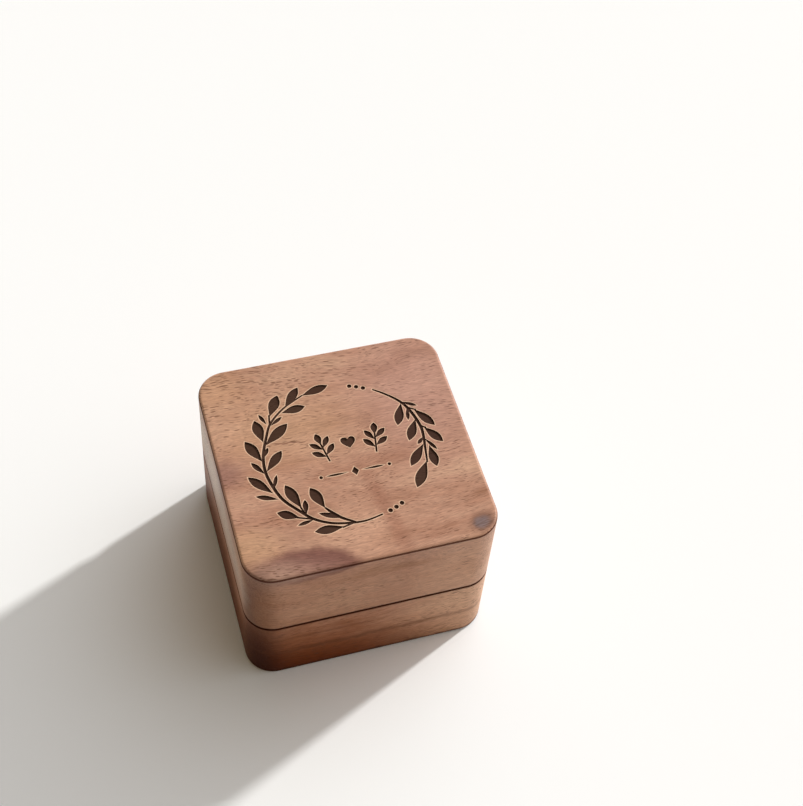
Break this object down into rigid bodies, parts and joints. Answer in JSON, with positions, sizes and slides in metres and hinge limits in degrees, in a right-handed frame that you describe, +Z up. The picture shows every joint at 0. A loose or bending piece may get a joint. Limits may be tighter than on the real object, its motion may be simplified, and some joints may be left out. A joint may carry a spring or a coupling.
{
  "type": "wooden ring box",
  "caption": "Small square walnut box with rounded corners, a hinged magnetic lid carved with a leaf wreath, and a ring cushion inside.",
  "frame": {"origin": "centre of the flat underside", "axes": "+X along the front edge to the right, +Y from the front to the hinges at the back, +Z up"},
  "size_m": [0.06, 0.06, 0.044],
  "materials": {
    "walnut": "oiled, satin",
    "brass": "satin",
    "steel_pin": "drawn wire",
    "nickel_magnet": "nickel-plated",
    "card": "matt",
    "foam": "open-cell foam",
    "velvet": "short-pile velvet"
  },
  "bodies": {
    "base": {"base_block": "walnut", "hinge_base_leaf_left": "brass", "hinge_base_leaf_right": "brass", "hinge_pin_left": "steel_pin", "hinge_pin_right": "steel_pin", "base_screw_left_a": "brass", "base_screw_left_b": "brass", "base_screw_right_a": "brass", "base_screw_right_b": "brass", "base_magnet_left": "nickel_magnet", "base_magnet_right": "nickel_magnet", "cushion_card": "card", "ring_roll_foam_front": "foam", "ring_roll_foam_middle": "foam", "ring_roll_foam_rear": "foam", "ring_roll_velvet_front": "velvet", "ring_roll_velvet_middle": "velvet", "ring_roll_velvet_rear": "velvet"},
    "lid": {"lid_block": "walnut", "hinge_lid_leaf_left": "brass", "hinge_lid_leaf_right": "brass", "lid_screw_left_a": "brass", "lid_screw_left_b": "brass", "lid_screw_right_a": "brass", "lid_screw_right_b": "brass", "lid_magnet_left": "nickel_magnet", "lid_magnet_right": "nickel_magnet", "lid_pad_card": "card", "lid_pad_foam": "foam", "lid_pad_velvet": "velvet"}
  },
  "joints": [
    {"name": "lid_hinge", "type": "hinge", "parent": "base", "child": "lid", "pos_m": [0, 0.0272, 0.0215], "axis": [-1, 0, 0], "range_deg": [0, 95]}
  ]
}
